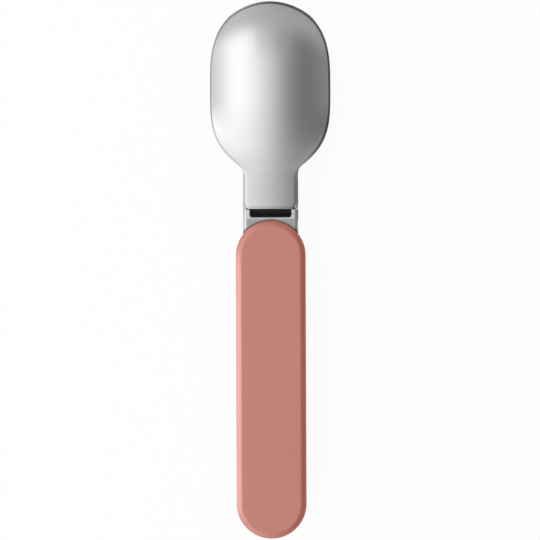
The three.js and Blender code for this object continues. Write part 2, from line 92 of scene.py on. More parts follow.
class Body:
    """A mesh on the bench, which Blender's own operators shape step by step."""

    def __init__(self, name: str, primitive: Callable[..., Any], scale: Point = (1, 1, 1),
                 **settings: Any) -> None:
        """Adds a primitive, names it and puts its place into its mesh.

        Args:
            name: the body's name.
            primitive: the operator that adds it.
            scale: its scale along each axis.
            settings: the operator's own settings.
        """
        self.clear()
        primitive(**settings)
        self.piece = bpy.context.active_object
        self.piece.name = name
        self.piece.data.name = name
        self.piece.scale = scale
        bpy.ops.object.transform_apply(location=True, rotation=True, scale=True)

    @classmethod
    def grid(cls, name: str, columns: int, rows: int) -> "Body":
        """A flat grid from -1 to 1 each way, with so many faces across and along."""
        return cls(
            name, bpy.ops.mesh.primitive_grid_add, x_subdivisions=columns, y_subdivisions=rows, size=2)

    @classmethod
    def plate(cls, name: str, low: Point, high: Point) -> "Body":
        """A flat rectangle, from its lowest X and Y to its highest X, Y and its level."""
        centre = ((low[0] + high[0]) / 2, (low[1] + high[1]) / 2, high[2])
        return cls(
            name, bpy.ops.mesh.primitive_plane_add, (high[0] - low[0], high[1] - low[1], 1), size=1,
            location=centre)

    @classmethod
    def block(cls, low: Point, high: Point) -> "Body":
        """A box between its lowest and its highest corner."""
        centre = [(a + b) / 2 for a, b in zip(low, high)]
        return cls(
            "block", bpy.ops.mesh.primitive_cube_add, [b - a for a, b in zip(low, high)], size=1,
            location=centre)

    @classmethod
    def bar(cls, radius: float, low: Vector, high: Vector, along: Along, name: str = "bar") -> "Body":
        """A round bar along an axis, between the centres of its two ends."""
        return cls(
            name, bpy.ops.mesh.primitive_cylinder_add, vertices=BAR_SIDES, radius=radius,
            depth=(high - low).length, location=(low + high) / 2, rotation=along.value)

    @property
    def points(self) -> bpy.types.MeshVertices:
        """The mesh's vertices."""
        return self.piece.data.vertices

    @staticmethod
    def clear() -> None:
        """Leaves edit mode and deselects every object."""
        if bpy.context.mode != "OBJECT":
            bpy.ops.object.mode_set(mode="OBJECT")
        bpy.ops.object.select_all(action="DESELECT")

    def take(self) -> None:
        """Selects this body alone and makes it the active one."""
        self.clear()
        self.piece.select_set(True)
        bpy.context.view_layer.objects.active = self.piece

    def lines(self, axis: int) -> list[tuple[float, list[int]]]:
        """Groups a grid's vertices into lines of one place.

        Args:
            axis: 0 for its columns and 1 for its rows.

        Returns:
            Each line's place and its vertices, from the lowest place up.
        """
        found: dict[float, list[int]] = {}
        for vertex in self.points:
            found.setdefault(round(vertex.co[axis], LINE_DIGITS), []).append(vertex.index)
        return sorted(found.items())

    def where(self, test: Callable[[Vector], bool]) -> list[int]:
        """The numbers of the vertices whose place passes a test."""
        return [vertex.index for vertex in self.points if test(vertex.co)]

    def pick(self, wanted: Iterable[int]) -> None:
        """Selects these vertices alone and opens edit mode.

        Args:
            wanted: the vertices' numbers.
        """
        self.take()
        mesh = self.piece.data
        chosen = set(wanted)
        mesh.polygons.foreach_set("select", [False] * len(mesh.polygons))
        mesh.edges.foreach_set("select", [set(edge.vertices) <= chosen for edge in mesh.edges])
        mesh.vertices.foreach_set("select", [i in chosen for i in range(len(mesh.vertices))])
        bpy.ops.object.mode_set(mode="EDIT")
        bpy.ops.mesh.select_mode(type="VERT")

    def pick_all(self) -> None:
        """Selects every vertex and opens edit mode."""
        self.pick(range(len(self.points)))

    def pick_edges(self, test: Callable[[Vector, Vector], bool]) -> None:
        """Selects the edges whose two ends pass a test, and opens edit mode.

        Args:
            test: says of the places of an edge's ends whether it is wanted.
        """
        self.pick([])
        bpy.ops.mesh.select_mode(type="EDGE")
        bpy.ops.object.mode_set(mode="OBJECT")
        for edge in self.piece.data.edges:
            edge.select = test(*(self.points[end].co for end in edge.vertices))
        bpy.ops.object.mode_set(mode="EDIT")

    def picked(self) -> list[int]:
        """Leaves edit mode and returns the numbers of the selected vertices."""
        bpy.ops.object.mode_set(mode="OBJECT")
        return [vertex.index for vertex in self.points if vertex.select]

    def put(self, index: int, there: Vector) -> None:
        """Moves one vertex to a place.

        Args:
            index: the vertex's number.
            there: its new place.
        """
        here = self.points[index].co.copy()
        self.pick([index])
        bpy.ops.transform.translate(value=there - here)
        bpy.ops.object.mode_set(mode="OBJECT")

    @staticmethod
    def extrude_edges(by: Point) -> None:
        """Draws new faces out of the selected edges."""
        bpy.ops.mesh.extrude_edges_move(TRANSFORM_OT_translate={"value": by})

    @staticmethod
    def extrude_faces(by: Point) -> None:
        """Draws a new block out of the selected faces."""
        bpy.ops.mesh.extrude_region_move(TRANSFORM_OT_translate={"value": by})

    def tidy(self) -> None:
        """Merges doubled vertices and points the faces outwards."""
        self.pick_all()
        bpy.ops.mesh.remove_doubles(threshold=MERGE)
        bpy.ops.mesh.normals_make_consistent(inside=False)
        bpy.ops.object.mode_set(mode="OBJECT")

    def modify(self, kind: str, **settings: Any) -> None:
        """Adds a modifier and applies it at once.

        Args:
            kind: the modifier's type.
            settings: the modifier's own settings.
        """
        self.take()
        modifier = self.piece.modifiers.new(kind.lower(), kind)
        for name, value in settings.items():
            setattr(modifier, name, value)
        bpy.ops.object.modifier_apply(modifier=modifier.name)

    def thicken(self, sheet: float) -> None:
        """Gives a sheet its thickness, away from its outer face."""
        self.modify("SOLIDIFY", thickness=sheet, offset=-1.0, use_even_offset=True)

    def combine(self, other: "Body", tool: Tool) -> None:
        """Joins, cuts or trims this body by another, which is used up."""
        self.modify("BOOLEAN", object=other.piece, operation=tool.value, solver="EXACT")
        bpy.data.objects.remove(other.piece, do_unlink=True)

    def weld(self, other: "Body") -> None:
        """Makes another closed body part of this one, which it reaches into.

        Args:
            other: the body that becomes part of this one.
        """
        self.take()
        other.piece.select_set(True)
        bpy.ops.object.join()

    def soften(self, width: float, segments: int, angle: float = SHARP) -> None:
        """Rounds the sharp edges of a finished body and shades it smooth.

        Args:
            width: how far the rounding reaches from each edge.
            segments: the faces across the rounding.
            angle: the least angle, in degrees, of an edge that is rounded.
        """
        self.modify(
            "BEVEL", width=width, segments=segments, limit_method="ANGLE",
            angle_limit=math.radians(angle), use_clamp_overlap=True)
        self.smooth(angle)
        self.modify("WEIGHTED_NORMAL", keep_sharp=True)

    def smooth(self, angle: float = SHARP) -> None:
        """Shades the body smooth, except at edges sharper than an angle in degrees."""
        self.take()
        bpy.ops.object.shade_smooth_by_angle(angle=math.radians(angle))


class Value:
    """A number in a node tree, with Python's own operators for its maths."""

    def __init__(self, nodes: "NodeBench", socket: Socket) -> None:
        """Wraps an output socket of a tree."""
        self.nodes = nodes
        self.socket = socket

    def _with(self, operation: str, first: Any, second: Any) -> "Value":
        """Adds one Math node and returns its result."""
        node = self.nodes.add("ShaderNodeMath", {"operation": operation}, {0: first, 1: second})
        return Value(self.nodes, node.outputs[0])

    def __add__(self, other: Any) -> "Value":
        """The sum."""
        return self._with("ADD", self, other)

    __radd__ = __add__

    def __sub__(self, other: Any) -> "Value":
        """The difference."""
        return self._with("SUBTRACT", self, other)

    def __rsub__(self, other: Any) -> "Value":
        """The difference from a plain number."""
        return self._with("SUBTRACT", other, self)

    def __mul__(self, other: Any) -> "Value":
        """The product."""
        return self._with("MULTIPLY", self, other)

    __rmul__ = __mul__

    def __truediv__(self, other: Any) -> "Value":
        """The quotient."""
        return self._with("DIVIDE", self, other)

    def __rtruediv__(self, other: Any) -> "Value":
        """The quotient of a plain number by this one."""
        return self._with("DIVIDE", other, self)

    def larger(self, other: Any) -> "Value":
        """The larger of two numbers."""
        return self._with("MAXIMUM", self, other)


class NodeBench:
    """A node tree of a material or the world, with one method that adds any node."""

    def __init__(self, owner: Any) -> None:
        """Empties the owner's node tree, ready for new nodes.

        Args:
            owner: the material or world.
        """
        owner.use_nodes = True
        self.owner = owner
        self.tree = owner.node_tree
        self.tree.nodes.clear()

    def add(self, kind: str, settings: dict[str, Any] | None = None,
            sockets: dict[Any, Any] | None = None) -> bpy.types.Node:
        """Adds a node, sets it up and feeds its sockets.

        Args:
            kind: the node's type.
            settings: its own settings; stops are a ramp's places and grey levels.
            sockets: the value or link of each input, by name or number.

        Returns:
            The new node.
        """
        node = self.tree.nodes.new(kind)
        for name, value in (settings or {}).items():
            if name == "stops":
                self._set_stops(node.color_ramp, value)
            else:
                setattr(node, name, value)
        for key, value in (sockets or {}).items():
            source = value.socket if isinstance(value, Value) else value
            if isinstance(source, Socket):
                self.tree.links.new(source, node.inputs[key])
            else:
                node.inputs[key].default_value = source
        return node

    @staticmethod
    def _set_stops(ramp: bpy.types.ColorRamp, stops: Sequence[tuple[float, float]]) -> None:
        """Gives a ramp its stops.

        Args:
            ramp: the ramp.
            stops: each stop's place and grey level.
        """
        for _ in stops[len(ramp.elements):]:
            ramp.elements.new(1.0)
        for element, (place, grey) in zip(ramp.elements, stops):
            element.position = place
            element.color = (grey, grey, grey, 1.0)

    def value(self, node: bpy.types.Node, output: str) -> Value:
        """An output of a node, ready for maths."""
        return Value(self, node.outputs[output])

    def own(self) -> Socket:
        """The piece's own coordinates."""
        return self.add("ShaderNodeTexCoord").outputs["Object"]

    def axis(self, name: str) -> Value:
        """The piece's own X, Y or Z in metres."""
        return self.value(self.add("ShaderNodeSeparateXYZ", None, {"Vector": self.own()}), name)

    def eased(self, source: Value, start: float, end: float) -> Value:
        """A smooth step from 0 at start to 1 at end."""
        node = self.add("ShaderNodeMapRange", {"interpolation_type": "SMOOTHSTEP"}, {
            "Value": source, "From Min": start, "From Max": end})
        return self.value(node, "Result")

    def stretched(self, scale: Point) -> Socket:
        """The piece's own coordinates, scaled along each axis."""
        mapping = self.add("ShaderNodeMapping", None, {"Vector": self.own(), "Scale": scale})
        return mapping.outputs["Vector"]

    def distance(self, scale: Point, centre: Point) -> Value:
        """The distance, in metres, of the scaled coordinates from a point."""
        node = self.add("ShaderNodeVectorMath", {"operation": "DISTANCE"}, {
            0: self.stretched(scale), 1: centre})
        return self.value(node, "Value")

    def noise(self, scale: Point, detail: float, roughness: float = 0.5) -> Value:
        """Noise from 0 to 1, with its waves per metre, its finer layers and their strength."""
        node = self.add("ShaderNodeTexNoise", None, {
            "Vector": self.stretched(scale), "Scale": 1.0, "Detail": detail, "Roughness": roughness})
        return self.value(node, "Fac")

    def blended(self, factor: Value, first: Point, second: Point) -> Socket:
        """A colour between two others."""
        node = self.add("ShaderNodeMix", {"data_type": "RGBA"}, {
            "Factor": factor, MIX_FIRST: (*first, 1.0), MIX_SECOND: (*second, 1.0)})
        return node.outputs[MIX_RESULT]

    def bump(self, height: Value, depth: float, strength: float) -> Socket:
        """A bumped normal, from a relief of a depth in metres and how much of it shows."""
        node = self.add("ShaderNodeBump", None, {
            "Height": height, "Distance": depth, "Strength": strength})
        return node.outputs["Normal"]

    def ramp(self, stops: Sequence[tuple[float, float]], along: Value) -> Socket:
        """A grey ramp along a number from 0 to 1."""
        return self.add("ShaderNodeValToRGB", {"stops": stops}, {"Fac": along}).outputs["Color"]

    def glow(self, colour: Any, strength: float) -> Socket:
        """A glowing shader."""
        return self.add("ShaderNodeEmission", None, {"Color": colour, "Strength": strength}).outputs[0]

    def mixed(self, factor: Value, first: Socket, second: Socket) -> Socket:
        """A shader between two others."""
        return self.add("ShaderNodeMixShader", None, {0: factor, 1: first, 2: second}).outputs[0]

    def end(self, shader: Socket, kind: str = "ShaderNodeOutputMaterial") -> Any:
        """Feeds the tree's output node and returns its owner."""
        self.add(kind, None, {"Surface": shader})
        return self.owner


@dataclass(frozen=True)
class SteelFinish:
    """Polished sheet steel with faint lengthwise streaks."""

    name: str
    light: tuple[float, float, float]
    dark: tuple[float, float, float]
    roughness: float
    streak: float = 0.05
    uneven: float = 0.06
    grain: tuple[float, float, float] = (1500.0, 30.0, 1500.0)
    grain_detail: float = 3.0
    cloud: tuple[float, float, float] = (90.0, 35.0, 90.0)
    cloud_detail: float = 1.0
    relief: float = 0.002 * MM
    relief_shown: float = 0.2

    def shade(self, nodes: NodeBench) -> Value | float:
        """How far the steel's colour is darkened at each place, from 0 to 1; the head's and the bracket's
        finishes paint shade and reflections into it.
        """
        return 0.0

    def material(self) -> Material:
        """Builds the finish as a node material.

        Returns:
            The material.
        """
        nodes = NodeBench(bpy.data.materials.new(self.name))
        grain = nodes.noise(self.grain, self.grain_detail)
        cloud = nodes.noise(self.cloud, self.cloud_detail)
        # The darkening from shade() is painted shade and painted reflection in the head's and the
        # bracket's steel.
        kept = (1 - self.shade(nodes)) * ((grain + cloud) * self.uneven + (1 - self.uneven))
        shader = nodes.add("ShaderNodeBsdfPrincipled", None, {
            "Base Color": nodes.blended(kept, self.dark, self.light),
            "Metallic": 1.0,
            "Roughness": (grain - NOISE_MIDDLE) * self.streak + self.roughness,
            "Normal": nodes.bump(grain, self.relief, self.relief_shown)})
        return nodes.end(shader.outputs["BSDF"])


@dataclass(frozen=True)
class PressedFinish(SteelFinish):
    """The head's steel: brightest on the bowl, darker on the neck, with painted shade and painted dark
    reflections along its edges and a painted shade line at the neck's rear edge.
    """

    neck_y: float = 26.0 * MM
    bowl_y: float = 38.0 * MM
    neck_darkening: float = 0.22
    # The rim band: a painted dark reflection along the bowl's edge, low on the sheet.
    rim_z: float = 7.38 * MM
    rim_reach: float = 0.14 * MM
    rim_lean: float = -0.004
    # The painted rim shade is paler on the lit left and full on the shaded right.
    pale_x: float = -16.0 * MM
    dark_x: float = 2.0 * MM
    pale_share: float = 0.6
    # These move the painted rim band up at the shoulder and down at the tip.
    shoulder_y: float = 36.0 * MM
    side_y: float = 54.0 * MM
    shoulder_drop: float = 0.5 * MM
    tip_start: float = 73.0 * MM
    tip_end: float = 79.0 * MM
    tip_rise: float = 0.25 * MM
    # A painted shade line across the neck's rolled rear edge.
    rear_y: float = 18.6 * MM
    rear_reach: float = 0.5 * MM
    rear_painted_shade: float = 0.6

    def shade(self, nodes: NodeBench) -> Value | float:
        """Darkens the neck a little and paints shade on the edges a lot, with a painted rim line that is
        darker on the shaded right and a painted line at the neck's rear edge.

        Args:
            nodes: the material's node tree.

        Returns:
            The darkening, from 0 to 1, which is painted shade at the rim and the rear edge.
        """
        along = nodes.axis("Y")
        across = nodes.axis("X")
        bowl = nodes.eased(along, self.neck_y, self.bowl_y)
        drop = (1 - nodes.eased(along, self.shoulder_y, self.side_y)) * self.shoulder_drop
        rise = nodes.eased(along, self.tip_start, self.tip_end) * self.tip_rise
        # Painted rim shade follows the sheet's level and is paler on the lit left.
        level = across * self.rim_lean + nodes.axis("Z") + drop - rise
        side = nodes.eased(across, self.pale_x, self.dark_x) * (1 - self.pale_share) + self.pale_share
        rim = (1 - nodes.eased(level, self.rim_z, self.rim_z + self.rim_reach)) * side
        # Painted shade line at the neck's rear edge.
        away = nodes.distance((0, 1, 0), (0, self.rear_y, 0))
        rear = (1 - nodes.eased(away, 0.0, self.rear_reach)) * self.rear_painted_shade
        return ((1 - bowl) * self.neck_darkening).larger(rim * bowl).larger(rear)


@dataclass(frozen=True)
class BracketFinish(SteelFinish):
    """The bracket's steel, with painted shade: a darker floor, bright bends, a painted highlight on the
    slot's lip and a painted shadow line where it enters the handle.
    """

    # A painted shadow line round the handle's end, for its shade and its dark reflection in the steel.
    arc_y: float = 4.2 * MM
    arc_radius: float = 10.4 * MM
    line_reach: float = 1.1 * MM
    floor_half: float = 6.95 * MM
    bend_half: float = 7.35 * MM
    # Painted shade: heavy on the floor, light on the bends so that they read as bright reflections.
    floor_painted_shade: float = 0.5
    bend_painted_shade: float = 0.1
    # A painted highlight: the floor stays bright along the slot's lip.
    lip_y: float = 15.0 * MM
    lip_reach: float = 0.25 * MM

    def shade(self, nodes: NodeBench) -> Value | float:
        """Paints shade on the floor behind the slot's painted bright lip, and a painted shadow line along
        the handle's round end.

        Args:
            nodes: the material's node tree.

        Returns:
            The painted shade, from 0 to 1.
        """
        away = nodes.distance((1, 1, 0), (0, self.arc_y, 0))
        # Painted shadow line round the handle's end.
        line = 1 - nodes.eased(away, self.arc_radius, self.arc_radius + self.line_reach)
        # Painted highlight along the slot's lip.
        lip = nodes.eased(nodes.axis("Y"), self.lip_y, self.lip_y + self.lip_reach)
        side = nodes.eased(nodes.distance((1, 0, 0), (0, 0, 0)), self.floor_half, self.bend_half)
        # Painted shade on the floor, lighter on the bends and the lip.
        floor = side.larger(lip) * (self.bend_painted_shade - self.floor_painted_shade) + self.floor_painted_shade
        return line.larger(floor)


@dataclass(frozen=True)
class PlasticFinish:
    """Moulded plastic with a fine matte grain and a barely uneven colour."""

    name: str
    light: tuple[float, float, float]
    dark: tuple[float, float, float]
    roughness: float
    specular: float = 0.5
    ior: float = 1.5
    grain: float = 5200.0
    grain_detail: float = 2.0
    mottle: float = 330.0
    mottle_detail: float = 4.0
    mottle_share: float = 0.7
    fineness: float = 0.6
    uneven: float = 0.16
    relief: float = 0.02 * MM
    relief_shown: float = 0.35

    def material(self) -> Material:
        """Builds the finish as a node material.

        Returns:
            The material.
        """
        nodes = NodeBench(bpy.data.materials.new(self.name))
        grain = nodes.noise((self.grain,) * 3, self.grain_detail, self.fineness)
        mottle = nodes.noise((self.mottle,) * 3, self.mottle_detail, self.fineness)
        tint = mottle * self.mottle_share + grain * (1 - self.mottle_share)
        shader = nodes.add("ShaderNodeBsdfPrincipled", None, {
            "Base Color": nodes.blended(tint, self.dark, self.light),
            "Roughness": (grain - NOISE_MIDDLE) * self.uneven + self.roughness,
            "Specular IOR Level": self.specular,
            "IOR": self.ior,
            "Normal": nodes.bump(grain, self.relief, self.relief_shown)})
        return nodes.end(shader.outputs["BSDF"])


@dataclass(frozen=True)
class Finishes:
    """The spoon's materials, each made once."""

    head_steel: Material
    bracket_steel: Material
    pin_steel: Material
    spring_steel: Material
    rose_plastic: Material
    black_nylon: Material

    @staticmethod
    def mixed() -> "Finishes":
        """Makes every finish of the spoon.

        Returns:
            The finishes.
        """
        finishes = (
            # The dark colours of these two steels are what their painted shade darkens towards.
            PressedFinish("polished_steel", (0.64, 0.64, 0.64), (0.2, 0.2, 0.2), 0.25),
            BracketFinish("bracket_steel", (0.64, 0.64, 0.64), (0.1, 0.1, 0.1), 0.27),
            SteelFinish("pin_steel", (0.58, 0.58, 0.58), (0.5, 0.5, 0.5), 0.3),
            SteelFinish("spring_steel", (0.44, 0.45, 0.46), (0.36, 0.37, 0.38), 0.36),
            PlasticFinish(
                "rose_plastic", (0.545, 0.108, 0.063), (0.493, 0.096, 0.055), 0.4, specular=1.0, ior=1.8),
            PlasticFinish(
                "black_nylon", (0.012, 0.012, 0.012), (0.006, 0.006, 0.006), 0.6, specular=0.3))
        return Finishes(*(finish.material() for finish in finishes))


def dress(piece: bpy.types.Object, material: Material) -> None:
    """Gives a piece one material all over."""
    piece.data.materials.clear()
    piece.data.materials.append(material)


def seat(body: Body, rides: str, node: str, finish: Material) -> None:
    """Dresses a body and puts it on what it rides, in the place of a node of the frame.

    Args:
        body: the finished body.
        rides: the body of the frame that it rides on.
        node: the node that it stands for.
        finish: its material.
    """
    piece = body.piece
    dress(piece, finish)
    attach(piece, rides)
    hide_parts(node)
    LOG.info("%s stands for %s on %s, with %d faces", piece.name, node, rides, len(piece.data.polygons))


@dataclass(frozen=True)
class Section:
    """The head's section at one place: half its width, its edge's level and its crown's height."""

    half: float
    edge: float
    crown: float


@dataclass
class SpoonHead:
    """The pressed steel head: the bowl, the crowned neck and the two arms on the pivot pin."""

    pivot: Vector
    ear_half: float
    bowl_half: float
    tip_y: float
    sheet: float = 1.0 * MM
    tip_length: float = 25.0 * MM
    tip_power: float = 3.0
    tip_round: float = 0.52
    depth: float = 8.0 * MM
    tip_fullness: float = 2.6
    shoulder_length: float = 26.8 * MM
    shoulder_power: float = 3.8
    shoulder_end: float = 0.92
    shoulder_fillet: float = 0.09
    curve_start: float = 24.0 * MM
    curve_end: float = 46.0 * MM
    flare: float = 0.5
    flare_rear: float = 27.0 * MM
    flare_middle: float = 33.0 * MM
    flare_front: float = 52.0 * MM
    neck_length: float = 10.3 * MM
    neck_inset: float = 0.05 * MM
    crown_radius: float = 31.0 * MM
    fold_gap: float = 0.3 * MM
    rear_half: float = 7.35 * MM
    taper_length: float = 2.4 * MM
    taper_power: float = 1.5
    roll_radius: float = 1.0 * MM
    roll_turn: float = math.radians(55.0)
    roll_rows: int = 3
    bend_start: float = -2.5 * MM
    bend_fade: float = 6.5 * MM
    drawn_in: float = 0.14 * MM
    neck_drawn_in: float = 0.08 * MM
    arm_half: float = 7.25 * MM
    arm_reach: float = 2.91 * MM
    flange_taper: float = 1.2 * MM
    flange_into_shoulder: float = 2.3 * MM
    flange_depth: float = 2.7 * MM
    flange_inset: float = 0.25 * MM
    flange_lap: float = 0.1 * MM
    flange_sink: float = 0.7
    bend_radius: float = 1.6 * MM
    heel_radius: float = 2.5 * MM
    heel_flat: float = 0.15 * MM
    pin_hole: float = 1.8 * MM
    arm_round: float = 0.15 * MM
    arm_round_steps: int = 2
    tip_corner: float = 12.0 * MM
    crowding: float = math.radians(70.0)
    columns: int = 14
    taper_rows: int = 4
    neck_rows: int = 12
    shoulder_rows: int = 24
    tip_rows: int = 16
    bend_steps: int = 4
    flange_rows: int = 24
    refining: int = 2
    heel_turns: tuple[float, ...] = (70.0, 52.0, 35.0, 18.0, 0.0)
    neck_half: float = field(init=False)
    rim_top: float = field(init=False)
    bowl_y: float = field(init=False)
    neck_front: float = field(init=False)
    neck_rear: float = field(init=False)
    flange_front: float = field(init=False)

    def __post_init__(self) -> None:
        """Works out the places along the head and the level of its rim."""
        self.rim_top = 2 * self.pivot.z + self.fold_gap + self.sheet
        self.bowl_y = self.tip_y - self.tip_length
        self.tip_length += self.drawn_in
        self.bowl_half += self.drawn_in
        self.neck_half = self.ear_half - self.neck_inset + self.neck_drawn_in
        self.neck_front = self.bowl_y - self.shoulder_length
        self.neck_rear = self.neck_front - self.neck_length
        self.flange_front = self.neck_front + self.flange_into_shoulder

    def neck_half_at(self, y: float) -> float:
        """Half the width of the neck's plate, which narrows where it passes the ears."""
        left = max(0.0, 1 - (y - self.neck_rear) / self.taper_length)
        return self.neck_half - (self.neck_half - self.rear_half) * left ** self.taper_power

    def roll_at(self, y: float) -> float:
        """How far the neck's rear edge has rolled down."""
        into = max(0.0, self.neck_rear + self.roll_radius * math.sin(self.roll_turn) - y)
        return self.roll_radius - math.sqrt(self.roll_radius ** 2 - into ** 2)

    def curve_at(self, y: float) -> float:
        """The sheet's curvature across, which eases from the neck's to the bowl's."""
        share = eased((y - self.curve_start) / (self.curve_end - self.curve_start))
        return (1 - share) / self.crown_radius + share * 2 * self.depth / self.bowl_half ** 2

    def flare_at(self, y: float) -> float:
        """How strongly the flanks flatten towards the edge.

        Args:
            y: the place along the spoon.

        Returns:
            The power of the section's curve, which is 1 for a plain one.
        """
        rear = eased((y - self.flare_rear) / (self.flare_middle - self.flare_rear))
        front = eased((self.flare_front - y) / (self.flare_front - self.flare_middle))
        return 1 + self.flare * min(rear, front)

    def section_at(self, y: float) -> Section:
        """The head's section at one place.

        Args:
            y: the place along the spoon.

        Returns:
            The section there.
        """
        if y >= self.bowl_y:
            reach = min(1.0, (y - self.bowl_y) / self.tip_length)
            half = self.bowl_half * (1 - reach ** self.tip_power) ** self.tip_round
            return Section(half, self.rim_top, self.depth * (1 - reach ** self.tip_fullness))
        curve = self.curve_at(y) / 2
        edge = self.rim_top
        if y >= self.neck_front:
            reach = min(1.0, (self.bowl_y - y) / self.shoulder_length)
            flank = 1 - (reach / self.shoulder_end) ** self.shoulder_power
            fillet = self.shoulder_fillet
            swell = (flank + math.hypot(flank, fillet)) / (1 + math.hypot(1, fillet))
            half = self.neck_half + (self.bowl_half - self.neck_half) * swell
        else:
            half = self.neck_half_at(y)
            edge += curve * (self.neck_half ** 2 - half ** 2) - self.roll_at(y)
        return Section(half, edge, curve * half ** 2 / self.flare_at(y))

    def places(self) -> list[float]:
        """The places of the sheet's rows, from the neck's rear edge to the middle of the bowl.

        Returns:
            The places along the spoon.
        """
        rolled = self.neck_rear + self.roll_radius
        plain = self.neck_rear + self.taper_length
        stretches = (
            (self.neck_rear, rolled, self.roll_rows), (rolled, plain, self.taper_rows),
            (plain, self.neck_front, self.neck_rows))
        neck = [start + (end - start) * i / rows for start, end, rows in stretches for i in range(rows)]
        shares = [1 - i / self.shoulder_rows for i in range(self.shoulder_rows + 1)]
        return neck + [self.bowl_y - self.shoulder_length * self.crowded(share) for share in shares]

    def crowded(self, share: float) -> float:
        """A share from 0 to 1, with its steps closer together towards the end."""
        return math.sin(self.crowding * share) / math.sin(self.crowding)

    def rim_y(self, x: float) -> float:
        """How far ahead the tip's rim lies at a distance from the middle line."""
        inside = 1 - (x / self.bowl_half) ** (1 / self.tip_round)
        return self.bowl_y + self.tip_length * inside ** (1 / self.tip_power)

    def tip_point(self, across: float, share: float) -> Vector:
        """A point of the bowl's front half, in rows that bulge until the last one is the rim.

        Args:
            across: the share of the row's half width.
            share: the share of the way from the bowl's middle to its tip.

        Returns:
            The point on the sheet's outer face.
        """
        reach = self.crowded(share)
        side_y = self.bowl_y + reach * (self.rim_y(self.tip_corner) - self.bowl_y)
        y = self.bowl_y + reach * (self.rim_y(self.tip_corner * across) - self.bowl_y)
        x = self.section_at(side_y).half * across
        return Vector((x, y, self.dome_level(y, x)))

    def dome_level(self, y: float, x: float) -> float:
        """The level of the crowned sheet before its edge is turned down.

        Args:
            y: the place along the spoon.
            x: the distance from the middle line.

        Returns:
            The level of the sheet's outer face.
        """
        section = self.section_at(y)
        across = min(1.0, x / section.half) if section.half else 0.0
        return section.edge + section.crown * (1 - across ** 2) ** self.flare_at(y)

    def bend_left_at(self, y: float) -> float:
        """The share of the turned edge's bend that is left, which dies away in the shoulder."""
        return 1 - eased((y - self.neck_front - self.bend_start) / self.bend_fade)

    def slope_at(self, y: float) -> float:
        """The angle at which the sheet falls where its bend begins.

        Args:
            y: the place along the neck.

        Returns:
            The angle, in radians from level.
        """
        section = self.section_at(y)
        flare = self.flare_at(y)
        across = 1 - self.bend_radius * self.bend_left_at(y) / section.half
        steepness = 2 * flare * across * (1 - across ** 2) ** (flare - 1)
        return math.atan(steepness * section.crown / section.half)

    def turn_at(self, y: float) -> float:
        """The angle to which the edge is turned down."""
        return self.slope_at(y) + (math.pi / 2 - self.slope_at(y)) * self.bend_left_at(y)

    def inset_at(self, y: float) -> float:
        """Half the width of the sheet inside its turned edge."""
        bend = math.sin(self.turn_at(y)) - math.sin(self.slope_at(y))
        return self.section_at(y).half - self.bend_radius * bend

    def bend_level(self, y: float, turn: float) -> float:
        """The level of the turned edge where it has come to an angle."""
        drop = self.bend_radius * (math.cos(self.slope_at(y)) - math.cos(turn))
        return self.dome_level(y, self.inset_at(y)) - drop

    def bend_point(self, y: float, share: float) -> Vector:
        """A point of the turned edge.

        Args:
            y: the place along the neck.
            share: the share of the bend, from the sheet's edge down.

        Returns:
            The point on the sheet's outer face.
        """
        slope = self.slope_at(y)
        turn = slope + (self.turn_at(y) - slope) * share
        x = self.inset_at(y) + self.bend_radius * (math.sin(turn) - math.sin(slope))
        return Vector((x, y, self.bend_level(y, turn)))

    def plate_level(self, y: float, x: float) -> float:
        """The level of the sheet with its edge turned down.

        Args:
            y: the place along the neck.
            x: the distance from the middle line.

        Returns:
            The level of the sheet's outer face.
        """
        inset = self.inset_at(y)
        if x <= inset:
            return self.dome_level(y, x)
        return self.bend_level(y, math.asin(math.sin(self.slope_at(y)) + (x - inset) / self.bend_radius))

    def flange_half_at(self, y: float) -> float:
        """Half the distance across the flanges, which draw in to pass between the ears."""
        share = min(1.0, max(0.0, (y - self.pivot.y - self.arm_reach) / self.flange_taper))
        return self.arm_half + (self.section_at(y).half - self.flange_inset - self.arm_half) * share

    def flange_levels(self, y: float) -> tuple[float, float, float]:
        """The flange's lower edge, the level of its heel's flat and its top inside the plate.

        Args:
            y: the place along the neck.

        Returns:
            The three levels, from the lowest up.
        """
        heel_reach = self.heel_radius - self.heel_flat
        heel_low = self.pivot.z - heel_reach
        heel_end = self.pivot.y + math.sqrt(self.heel_radius ** 2 - heel_reach ** 2)
        step_y = self.pivot.y + self.arm_reach
        rim_low = self.rim_top - self.sheet + self.flange_lap
        step_z = rim_low - self.flange_depth
        across = self.flange_half_at(y)
        inside = self.plate_level(y, across - self.sheet / 2) - self.flange_sink * self.sheet
        top = min(self.plate_level(y, across) - self.flange_lap, inside)
        if y <= step_y:
            share = max(0.0, (y - heel_end) / (step_y - heel_end))
            return heel_low + (step_z - heel_low) * share, self.pivot.z + heel_reach, top
        share = min(1.0, (y - step_y) / (self.flange_front - step_y))
        low = step_z + (rim_low - step_z) * (1 - (1 - share) ** 2)
        return low, (low + top) / 2, top

    def _half_sheet(self) -> Body:
        """Presses the right half of the bowl and neck out of a flat grid.

        Returns:
            The half sheet, with no thickness.
        """
        places = self.places()
        sheet = Body.grid("pressed_head", self.columns, len(places) + self.tip_rows - 1)
        rows = sheet.lines(1)
        for place, column in sheet.lines(0):
            sheet.pick(column)
            bpy.ops.transform.translate(value=(self.crowded((place + 1) / 2) - place, 0, 0))
        bpy.ops.object.mode_set(mode="OBJECT")
        for y, (_, row) in zip(places, rows):
            half = self.inset_at(y)
            for index in row:
                x = half * sheet.points[index].co.x
                sheet.put(index, Vector((x, y, self.dome_level(y, x))))
        for step, (_, row) in enumerate(rows[len(places):], 1):
            for index in row:
                sheet.put(index, self.tip_point(sheet.points[index].co.x, step / self.tip_rows))
        return sheet

